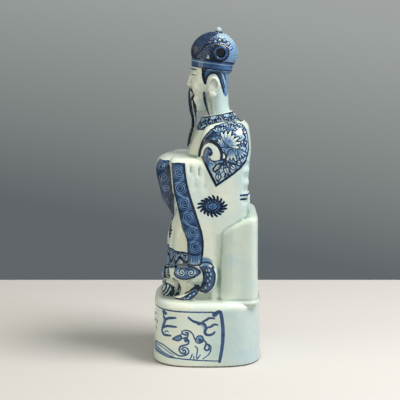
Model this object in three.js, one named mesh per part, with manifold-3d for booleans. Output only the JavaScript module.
// A seated bearded official in blue and white porcelain, cast in one with a block throne and a plinth.
// Millimetres, +Z up. The figure faces -Y and its left hand is towards +X.
// The origin is the middle of the foot, on the surface that it stands on.
import * as THREE from 'three';
import { mergeVertices } from 'three/addons/utils/BufferGeometryUtils.js';
import Module from 'manifold-3d';

const wasm = await Module();
wasm.setup();

// Plinth: a superellipse in plan, a little wider at the foot, with a rounded top rim
const PLINTH_HEIGHT = 77.5;
const PLINTH_HALF_WIDTH = 75.5;
const PLINTH_HALF_DEPTH = 67;
const PLINTH_TAPER_SIDES = 1.5;
const PLINTH_TAPER_ENDS = 2.5;
const PLINTH_RIM = 7;
const PLINTH_SQUARENESS = 3.1;

// Throne: a block with rounded upright corners whose top rises towards the back and rounds over there
const THRONE_HALF_WIDTH = 62;
const THRONE_FRONT = 10;
const THRONE_BACK = 62.5;
const THRONE_LEVEL = 165;
const THRONE_EDGE = 6;
const THRONE_SQUARENESS = 6;
const THRONE_TOP = [
  { y: 10, z: 159 },
  { y: 25, z: 168 },
  { y: 41, z: 175.5 },
  { y: 53, z: 179.5 },
  { y: 59, z: 177 },
  { y: 62.5, z: 172.5 },
];

// Head, hat and beard
const HEAD_HALF_WIDTH = 20.5;
const HEAD_TOP = 372;
const CHIN_HEIGHT = 315;
const EYE_HEIGHT = 347;
const MOUTH_HEIGHT = 327;
const FACE_FRONT = -18.5;
const EAR_TOP = 345.5;
const EAR_LENGTH = 25;
const HAT_TILT = -0.13;
const KNOB_TOP = 404;
const KNOB_RADIUS = 3.5;
const KNOB_PLACE = 14;

// Sockets at the sides of the hat, open outwards
const SOCKET_PLACE = new THREE.Vector3(34, 16.2, 374.3);
const SOCKET_OUTER_RADIUS = 8;
const SOCKET_BORE_RADIUS = 5.4;
const SOCKET_DEPTH = 15;

// Each station of a loft is one level cut: half width in X, front and back in Y, and how square it is
const ROBE = [
  { z: 100, half: 52, front: -45, back: 40, square: 2.9 },
  { z: 110, half: 53, front: -46.5, back: 40, square: 2.9 },
  { z: 128, half: 52, front: -46, back: 40, square: 2.9 },
  { z: 148, half: 53, front: -46.5, back: 42, square: 2.8 },
  { z: 165, half: 54, front: -44.5, back: 44, square: 2.7 },
  { z: 182, half: 54, front: -38, back: 50.5, square: 2.7 },
  { z: 208, half: 52, front: -31, back: 50.5, square: 2.7 },
  { z: 232, half: 49, front: -27, back: 52, square: 2.8 },
  { z: 252, half: 47, front: -24.5, back: 54, square: 3.1 },
  { z: 267, half: 45, front: -21.5, back: 53.5, square: 3.3 },
  { z: 280, half: 42, front: -14.5, back: 52, square: 2.9 },
  { z: 287, half: 36, front: -9.5, back: 50, square: 2.5 },
  { z: 292.5, half: 28, front: -4, back: 43, square: 2.3 },
  { z: 296, half: 20, front: 0, back: 32, square: 2.2 },
];
const UNDER_ROBE = [
  { z: 72, half: 47, front: -39, back: 30, square: 2.8 },
  { z: 108, half: 44, front: -37, back: 30, square: 2.8 },
];
const NECK = [
  { z: 276, half: 20, front: -4, back: 31, square: 2.1 },
  { z: 300, half: 18.5, front: 0, back: 29, square: 2 },
  { z: 311, half: 17.5, front: -1, back: 26.5, square: 2 },
  { z: 335, half: 18, front: -4, back: 25.5, square: 2 },
];
const COLLAR = [
  { z: 286.5, half: 35.5, front: -13, back: 40, square: 2.1 },
  { z: 289, half: 34.5, front: -13, back: 39.8, square: 2.1 },
  { z: 293, half: 28.5, front: -10.5, back: 36.5, square: 2.1 },
  { z: 298.5, half: 22, front: -7.5, back: 32, square: 2 },
  { z: 300, half: 19, front: -5, back: 30, square: 2 },
];
const COLLAR_TILT = 0.2;
// The beard ends in the air under the chin, and only its long strands reach down to the chest
const BEARD = [
  { z: 302, half: 7, front: -17.5, back: -2, square: 2.2 },
  { z: 305, half: 9.5, front: -19.5, back: 1, square: 2.2 },
  { z: 312, half: 12.5, front: -20.5, back: 4, square: 2.2 },
  { z: 319, half: 14, front: -20.5, back: 6, square: 2.2 },
  { z: 323, half: 12.5, front: -18, back: 6, square: 2.2 },
];
const HEAD = [
  { z: CHIN_HEIGHT - 3, half: 9, front: FACE_FRONT + 6, back: 8, square: 2 },
  { z: CHIN_HEIGHT, half: 13, front: FACE_FRONT + 2.5, back: 14, square: 2.1 },
  { z: CHIN_HEIGHT + 6, half: 16.5, front: FACE_FRONT + 1.2, back: 22, square: 2.15 },
  { z: MOUTH_HEIGHT + 2, half: 18.8, front: FACE_FRONT + 0.6, back: 25.5, square: 2.2 },
  { z: EYE_HEIGHT - 10, half: HEAD_HALF_WIDTH, front: FACE_FRONT, back: 26.5, square: 2.25 },
  { z: EYE_HEIGHT + 2, half: HEAD_HALF_WIDTH + 0.3, front: FACE_FRONT - 0.4, back: 27.5, square: 2.3 },
  { z: HEAD_TOP - 5, half: HEAD_HALF_WIDTH, front: FACE_FRONT + 1, back: 28, square: 2.2 },
];
const HAT_BAND = [
  { z: 352.5, half: 22.5, front: -17.5, back: 29, square: 2.2 },
  { z: 354, half: 24, front: -19, back: 30.5, square: 2.2 },
  { z: 362.5, half: 24.5, front: -19, back: 31.5, square: 2.2 },
  { z: 364, half: 23, front: -17.5, back: 30, square: 2.2 },
];
const HAT_DOME = [
  { z: 358, half: 23, front: -16.5, back: 31, square: 2.2 },
  { z: 366, half: 25, front: -17.5, back: 35.5, square: 2.2 },
  { z: 375, half: 25.5, front: -18, back: 37.5, square: 2.2 },
  { z: 383, half: 23.5, front: -15, back: 35.5, square: 2.2 },
  { z: 390, half: 18.5, front: -9, back: 31, square: 2.1 },
  { z: 395, half: 12, front: -1.5, back: 25.5, square: 2 },
  { z: 397.5, half: 6, front: 6, back: 20, square: 2 },
];
// The arms hang from the shoulders beside the narrower chest
const ARM = [
  { z: 108, inner: 30, outer: 54, front: 2, back: 34, square: 2.8 },
  { z: 124, inner: 30, outer: 55, front: 0, back: 36, square: 2.8 },
  { z: 142, inner: 30, outer: 56.8, front: -2, back: 40, square: 2.8 },
  { z: 165, inner: 28, outer: 58, front: -6, back: 45, square: 2.8 },
  { z: 190, inner: 26, outer: 58.5, front: -10, back: 49, square: 2.8 },
  { z: 215, inner: 26, outer: 58.5, front: -13, back: 50, square: 2.8 },
  { z: 245, inner: 24, outer: 58.5, front: -12, back: 51, square: 2.7 },
  { z: 262, inner: 22, outer: 57, front: -10, back: 50.5, square: 2.6 },
  { z: 276, inner: 20, outer: 53.5, front: -7, back: 49, square: 2.5 },
  { z: 285, inner: 18, outer: 47.5, front: -2, back: 47, square: 2.4 },
  { z: 290.5, inner: 14, outer: 40, front: 6, back: 43, square: 2.3 },
  { z: 293.5, inner: 12, outer: 31, front: 12, back: 37, square: 2.2 },
];
// Behind the curled hem the robe falls to the plinth beside the throne
const SIDE_SKIRT = [
  { z: 72, inner: 30, outer: 54.5, front: 5, back: 30, square: 3.2 },
  { z: 110, inner: 30, outer: 54, front: 0, back: 30, square: 3.2 },
  { z: 135, inner: 30, outer: 54.5, front: -6, back: 32, square: 3.2 },
  { z: 165, inner: 30, outer: 55.5, front: -10, back: 36, square: 3.2 },
  { z: 185, inner: 30, outer: 55, front: -12, back: 36, square: 3.2 },
];
// The robe's wide sleeves hang at each side, and the cuff borders lie along their front edges
const SLEEVE = [
  { z: 116, inner: 34, outer: 55.5, front: -22, back: 8, square: 5 },
  { z: 136, inner: 34, outer: 56.5, front: -23, back: 12, square: 5 },
  { z: 154, inner: 34, outer: 57, front: -24.5, back: 16, square: 5 },
  { z: 175, inner: 34, outer: 57.5, front: -31, back: 18, square: 5 },
  { z: 200, inner: 34, outer: 57.5, front: -37, back: 22, square: 5 },
  { z: 225, inner: 30, outer: 57.3, front: -42, back: 26, square: 4.5 },
  { z: 240, inner: 26, outer: 56.5, front: -44.5, back: 24, square: 4 },
  { z: 246.5, inner: 24, outer: 54, front: -44, back: 18, square: 3.4 },
  { z: 250, inner: 22, outer: 48, front: -41, back: 8, square: 3 },
];
const SIDE_CUFF = [
  { z: 121, inner: 44, outer: 57.4, front: -22, back: -8, square: 5 },
  { z: 136, inner: 44, outer: 58.3, front: -23.5, back: -6.5, square: 5 },
  { z: 156, inner: 44, outer: 58.8, front: -26, back: -6, square: 5 },
  { z: 175, inner: 44, outer: 59.3, front: -32, back: -11, square: 5 },
  { z: 200, inner: 44, outer: 59.3, front: -38, back: -19, square: 5 },
  { z: 225, inner: 42, outer: 58.5, front: -42, back: -26, square: 5 },
  { z: 243, inner: 38, outer: 56.4, front: -43.5, back: -28, square: 5 },
];
// The joined hands are hidden in the front cuffs, which hang in a point over the lap
const FRONT_CUFF = [
  { z: 166, half: 9, front: -42, back: -28, square: 2.4 },
  { z: 178, half: 17, front: -46, back: -28, square: 2.5 },
  { z: 192, half: 24, front: -54, back: -28, square: 2.6 },
  { z: 212, half: 31, front: -59, back: -28, square: 2.7 },
  { z: 228, half: 37, front: -63, back: -26, square: 2.8 },
  { z: 239, half: 40, front: -62.5, back: -24, square: 2.8 },
  { z: 245.5, half: 40, front: -58.5, back: -20, square: 2.8 },
  { z: 249.5, half: 37, front: -50, back: -16, square: 2.6 },
];

const PORCELAIN = new THREE.MeshStandardMaterial({ color: '#c9d3ca', roughness: 0.12, metalness: 0 });

// Folds of the skirt
const SKIRT_FOLD_DEPTH = 1.2;
const SKIRT_FOLDS = 8;

// A smooth value between the stations, as a cubic through them
function between(stations, key, t) {
  const place = t * (stations.length - 1);
  const index = Math.min(Math.floor(place), stations.length - 2);
  const part = place - index;
  const at = (i) => stations[THREE.MathUtils.clamp(i, 0, stations.length - 1)][key] ?? 0;
  const before = at(index - 1);
  const start = at(index);
  const end = at(index + 1);
  const after = at(index + 2);
  const slopeStart = (end - before) / 2;
  const slopeEnd = (after - start) / 2;
  const square = part * part;
  const cube = square * part;
  return (2 * cube - 3 * square + 1) * start + (cube - 2 * square + part) * slopeStart
    + (3 * square - 2 * cube) * end + (cube - square) * slopeEnd;
}

// How far a superellipse of unit half axes reaches in one direction
function superellipseReach(angle, square) {
  return (Math.abs(Math.cos(angle)) ** square + Math.abs(Math.sin(angle)) ** square) ** (-1 / square);
}

// A cylinder whose rings take the shape of the stations; detail may push each ring point outwards
function loft(stations, { sides = 32, rings = 12, tilt = 0, side = 0, detail = () => 0 } = {}) {
  const geometry = new THREE.CylinderGeometry(1, 1, 1, sides, rings);
  geometry.rotateX(Math.PI / 2);
  const points = geometry.attributes.position;
  for (let i = 0; i < points.count; i += 1) {
    const t = THREE.MathUtils.clamp(points.getZ(i) + 0.5, 0, 1);
    const radius = Math.min(1, Math.hypot(points.getX(i), points.getY(i)));
    const angle = Math.atan2(points.getY(i), points.getX(i));
    const z = between(stations, 'z', t);
    const front = between(stations, 'front', t);
    const back = between(stations, 'back', t);
    const inner = side ? between(stations, 'inner', t) : 0;
    const outer = side ? between(stations, 'outer', t) : 0;
    const half = side ? (outer - inner) / 2 : between(stations, 'half', t);
    const middleX = side * (outer + inner) / 2;
    const middleY = (front + back) / 2;
    const reach = radius * superellipseReach(angle, between(stations, 'square', t));
    const push = detail(angle, z);
    const x = middleX + reach * Math.cos(angle) * (half + push);
    const y = middleY + reach * Math.sin(angle) * ((back - front) / 2 + push);
    points.setXYZ(i, x, y, z + tilt * (y - middleY));
  }
  return geometry;
}

function ball({ x = 0, y, z, width, depth, height, turn = 0, segments = 9, rings = 5 }) {
  const geometry = new THREE.SphereGeometry(1, segments, rings);
  geometry.rotateX(Math.PI / 2);
  geometry.scale(width / 2, depth / 2, height / 2);
  geometry.rotateX(turn);
  geometry.translate(x, y, z);
  return geometry;
}

// A round bar along a smooth path through a few points
function bar(points, radius, steps, sides = 8) {
  const circle = new THREE.Shape().absarc(0, 0, radius, 0, Math.PI * 2);
  const path = new THREE.CatmullRomCurve3(points.map((point) => new THREE.Vector3(...point)));
  const options = { steps, curveSegments: sides, bevelEnabled: false, extrudePath: path };
  return new THREE.ExtrudeGeometry(circle, options);
}

function solid(geometry) {
  geometry.deleteAttribute('normal');
  geometry.deleteAttribute('uv');
  const merged = mergeVertices(geometry, 1e-4);
  const mesh = new wasm.Mesh({
    numProp: 3,
    vertProperties: merged.attributes.position.array,
    triVerts: Uint32Array.from(merged.index.array),
  });
  return new wasm.Manifold(mesh);
}

function join(geometries) {
  return geometries.map(solid).reduce((whole, next) => whole.add(next));
}

function bothSides(make) {
  return [1, -1].flatMap((side) => make(side));
}

// Level cuts of the plinth: straight sides with a taper, then a quarter round to the top
function plinthStations() {
  const cut = (z, sides, ends) => ({
    z,
    half: PLINTH_HALF_WIDTH - sides,
    front: ends - PLINTH_HALF_DEPTH,
    back: PLINTH_HALF_DEPTH - ends,
    square: PLINTH_SQUARENESS,
  });
  const stations = [cut(0, 0, 0), cut(PLINTH_HEIGHT - PLINTH_RIM, PLINTH_TAPER_SIDES, PLINTH_TAPER_ENDS)];
  const steps = 3;
  for (let i = 1; i <= steps; i += 1) {
    const angle = (i / steps) * (Math.PI / 2);
    const inset = PLINTH_RIM * (1 - Math.cos(angle));
    const z = PLINTH_HEIGHT - PLINTH_RIM * (1 - Math.sin(angle));
    stations.push(cut(z, PLINTH_TAPER_SIDES + inset, PLINTH_TAPER_ENDS + inset));
  }
  return stations;
}

// A ring for every station, with no smoothing between them
function stack(stations, sides, detail) {
  return loft(stations, { sides, rings: stations.length - 1, detail });
}

// Height of the throne's top at a place from front to back
function throneTop(y) {
  const found = THRONE_TOP.findIndex((place) => place.y > y);
  const next = found < 0 ? THRONE_TOP.length - 1 : Math.max(found, 1);
  const before = THRONE_TOP[next - 1];
  const after = THRONE_TOP[next];
  const part = THREE.MathUtils.clamp((y - before.y) / (after.y - before.y), 0, 1);
  return THREE.MathUtils.lerp(before.z, after.z, part);
}

// A level block first, whose upper rings are then raised to the rising top
function throneGeometry() {
  const middle = (THRONE_FRONT + THRONE_BACK) / 2;
  const cut = (z, inset) => ({
    z,
    half: THRONE_HALF_WIDTH - inset,
    front: Math.min(THRONE_FRONT + inset, middle - 2),
    back: Math.max(THRONE_BACK - inset, middle + 2),
    square: THRONE_SQUARENESS,
  });
  const stations = [cut(PLINTH_HEIGHT - 4, 0), cut(110, 0.2), cut(THRONE_LEVEL - THRONE_EDGE, 0.6)];
  const steps = 2;
  for (let i = 1; i <= steps; i += 1) {
    const angle = (i / steps) * (Math.PI / 2);
    const inset = 0.6 + THRONE_EDGE * (1 - Math.cos(angle));
    stations.push(cut(THRONE_LEVEL - THRONE_EDGE * (1 - Math.sin(angle)), inset));
  }
  stations.push(cut(THRONE_LEVEL, THRONE_EDGE + 12));
  const geometry = stack(stations, 36);
  const points = geometry.attributes.position;
  for (let i = 0; i < points.count; i += 1) {
    const share = THREE.MathUtils.smoothstep(points.getZ(i), PLINTH_HEIGHT + 6, THRONE_LEVEL - THRONE_EDGE);
    points.setZ(i, points.getZ(i) + share * (throneTop(points.getY(i)) - THRONE_LEVEL));
  }
  return geometry;
}

// Soft folds run down the skirt in front and die out above the lap
function robeDetail(angle, z) {
  const forward = Math.max(0, -Math.sin(angle));
  const low = 1 - THREE.MathUtils.smoothstep(z, 150, 185);
  return SKIRT_FOLD_DEPTH * low * forward * Math.cos(angle * SKIRT_FOLDS * 2);
}

function headForms() {
  const face = [
    bar([
      [0, FACE_FRONT + 1.4, EYE_HEIGHT + 4],
      [0, FACE_FRONT - 0.4, EYE_HEIGHT - 1],
      [0, FACE_FRONT - 1.8, EYE_HEIGHT - 7],
      [0, FACE_FRONT - 2.2, EYE_HEIGHT - 11],
    ], 2.6, 3, 3),
    ball({ y: FACE_FRONT - 2.6, z: EYE_HEIGHT - 11.6, width: 7.4, depth: 7, height: 6, segments: 8 }),
    ball({ y: FACE_FRONT + 1, z: MOUTH_HEIGHT + 1.2, width: 13, depth: 4.6, height: 2.8, rings: 4 }),
    ball({ y: FACE_FRONT + 1.4, z: MOUTH_HEIGHT - 1.8, width: 11, depth: 4.6, height: 3.2, rings: 4 }),
    ball({ y: FACE_FRONT + 5, z: CHIN_HEIGHT + 3.5, width: 15, depth: 12, height: 10 }),
  ];
  const pairs = bothSides((side) => [
    bar([
      [side * 3.5, FACE_FRONT - 0.2, EYE_HEIGHT + 4.6],
      [side * 9, FACE_FRONT + 0.6, EYE_HEIGHT + 7],
      [side * 15.5, FACE_FRONT + 4.5, EYE_HEIGHT + 5.5],
    ], 1.2, 3, 3),
    ball({ x: side * 8.8, y: FACE_FRONT + 5.2, z: EYE_HEIGHT, width: 11, depth: 11.4, height: 8, segments: 8 }),
    ball({ x: side * 10.5, y: FACE_FRONT + 9, z: EYE_HEIGHT - 14, width: 17, depth: 19, height: 19 }),
    ball({
      x: side * 21.6,
      y: 8,
      z: EAR_TOP - EAR_LENGTH / 2,
      width: 7,
      depth: 15,
      height: EAR_LENGTH,
      turn: -0.07,
    }),
  ]);
  return [loft(HEAD, { sides: 22, rings: 7 }), loft(NECK, { sides: 18, rings: 3 }), ...face, ...pairs];
}

function beardForms() {
  const middle = bar([
    [0, -17.5, 312],
    [0, -16.2, 300],
    [0, -15.4, 292],
    [0, -17.2, 282],
    [0, -22, 262],
  ], 3.2, 6, 4);
  const strands = bothSides((side) => [
    bar([
      [side * 5.5, -20.6, 327],
      [side * 8.5, -20.6, 315],
      [side * 7.5, -19, 303],
      [side * 5.5, -17.2, 293],
      [side * 4.8, -18, 283],
      [side * 3, -22.4, 262],
    ], 1.8, 7, 3),
    bar([
      [side * 19.4, -3, 326],
      [side * 19, -3, 318],
      [side * 17.8, -1.2, 310],
      [side * 17.2, 3, 298],
    ], 1.5, 3, 3),
  ]);
  return [loft(BEARD, { sides: 12, rings: 4 }), middle, ...strands];
}

// The front of the hat is a second layer that ends in a slanting edge behind the brow
function hatFrontLayer() {
  const wider = HAT_DOME.map((cut) => ({
    ...cut,
    half: cut.half + 1.2,
    front: cut.front - 1.2,
    back: cut.back + 1.2,
    z: cut.z + 0.6,
  }));
  const layer = solid(loft(wider, { sides: 20, rings: 6, tilt: HAT_TILT / 2 }));
  const cutter = new THREE.BoxGeometry(80, 40, 60);
  cutter.translate(0, -20, 0);
  cutter.rotateX(-0.78);
  cutter.translate(0, -2, 383);
  return layer.intersect(solid(cutter));
}

function hatForms() {
  const tubes = bothSides((side) => {
    const tube = new THREE.CylinderGeometry(SOCKET_OUTER_RADIUS, SOCKET_OUTER_RADIUS + 1, 14, 18);
    tube.rotateZ(-side * Math.PI / 2);
    tube.translate(side * (SOCKET_PLACE.x - 7), SOCKET_PLACE.y, SOCKET_PLACE.z);
    return [tube];
  });
  const scrolls = bothSides((side) => [0, 1, 2, 3, 4].map((i) => {
    const angle = THREE.MathUtils.degToRad(150 - 34 * i);
    return ball({
      x: side * (20 - 1.5 * i),
      y: SOCKET_PLACE.y + 12 * Math.cos(angle),
      z: SOCKET_PLACE.z + 2 + 13 * Math.sin(angle),
      width: 9,
      depth: 6.5,
      height: 6.5,
      segments: 6,
      rings: 4,
    });
  }));
  const across = 2 * KNOB_RADIUS;
  const knob = ball({ y: KNOB_PLACE, z: KNOB_TOP - KNOB_RADIUS, width: across, depth: across, height: across });
  const knobFoot = ball({ y: KNOB_PLACE - 1, z: 397.3, width: 9, depth: 11, height: 4.5 });
  return [
    loft(HAT_BAND, { sides: 24, rings: 3, tilt: HAT_TILT }),
    loft(HAT_DOME, { sides: 24, rings: 7, tilt: HAT_TILT / 2 }),
    ...tubes, ...scrolls, knob, knobFoot,
  ];
}

// The hem turns over at the sides in a curl, and the shoes show under it
function hemForms() {
  const pairs = bothSides((side) => [
    bar([
      [side * 48, -8, 126],
      [side * 52, 2, 121],
      [side * 53.5, 6.5, 112],
      [side * 53.5, 6, 101],
      [side * 52, 1, 92],
      [side * 50, -8, 87.5],
    ], 5, 8, 4),
    ball({ x: side * 49, y: -25, z: 113, width: 14, depth: 32, height: 15, turn: 0.05 }),
    bar([
      [side * 44, -37, 80],
      [side * 48, -29, 82.5],
      [side * 49.5, -20, 87],
      [side * 50, -11, 92],
    ], 4.4, 4, 3),
    ball({ x: side * 21, y: -46.5, z: 84, width: 26, depth: 20, height: 18, turn: -0.1 }),
    ball({ x: side * 23, y: -42, z: 91, width: 20, depth: 20, height: 14, turn: -0.25 }),
  ]);
  const sash = bar([
    [0, -39, 172],
    [0, -45, 150],
    [0, -45.5, 128],
    [0, -46.5, 114],
    [0, -50, 104],
  ], 3.4, 5, 4);
  const knot = ball({ y: -52, z: 102, width: 12, depth: 9, height: 15 });
  const tassel = ball({ y: -49.5, z: 88, width: 10, depth: 9, height: 22 });
  return [...pairs, sash, knot, tassel];
}

// A sash hangs behind from the belt to the seat
function backForms() {
  const folds = [-9, -3, 3, 9].map((x) => bar([
    [x * 0.7, 49.5, 206],
    [x, 50.5, 196],
    [x * 1.3, 51, 178],
  ], 2.2, 3, 3));
  const knot = ball({ y: 50.5, z: 198, width: 15, depth: 6, height: 9 });
  return [...folds, knot];
}

function sleeveForms() {
  return bothSides((side) => [
    loft(ARM, { sides: 18, rings: 9, side }),
    loft(SIDE_SKIRT, { sides: 12, rings: 3, side }),
    loft(SLEEVE, { sides: 14, rings: 7, side }),
    loft(SIDE_CUFF, { sides: 12, rings: 6, side }),
  ]);
}

const bodyForms = [
  stack(plinthStations(), 44),
  throneGeometry(),
  loft(ROBE, { sides: 36, rings: 14, detail: robeDetail }),
  loft(UNDER_ROBE, { sides: 24, rings: 1 }),
  loft(COLLAR, { sides: 28, rings: 4, tilt: COLLAR_TILT }),
  loft(FRONT_CUFF, { sides: 24, rings: 7 }),
  ...sleeveForms(),
  ...headForms(),
  ...beardForms(),
  ...hatForms(),
  ...hemForms(),
  ...backForms(),
];

function socketBores() {
  return bothSides((side) => {
    const length = SOCKET_DEPTH + 5;
    const bore = new THREE.CylinderGeometry(SOCKET_BORE_RADIUS, SOCKET_BORE_RADIUS, length, 16);
    bore.rotateZ(Math.PI / 2);
    bore.translate(side * (SOCKET_PLACE.x - SOCKET_DEPTH + length / 2), SOCKET_PLACE.y, SOCKET_PLACE.z);
    return [bore];
  });
}

const figure = join(bodyForms).add(hatFrontLayer()).subtract(join(socketBores()));

function meshOf(manifold, name, material) {
  const { numProp, vertProperties, triVerts } = manifold.getMesh();
  const geometry = new THREE.BufferGeometry();
  geometry.setAttribute('position', new THREE.InterleavedBufferAttribute(
    new THREE.InterleavedBuffer(vertProperties, numProp), 3, 0,
  ));
  geometry.setIndex(new THREE.BufferAttribute(triVerts, 1));
  const mesh = new THREE.Mesh(geometry, material);
  mesh.name = name;
  return mesh;
}

const group = new THREE.Group();
group.add(meshOf(figure, 'deity_figure', PORCELAIN));

export default group;
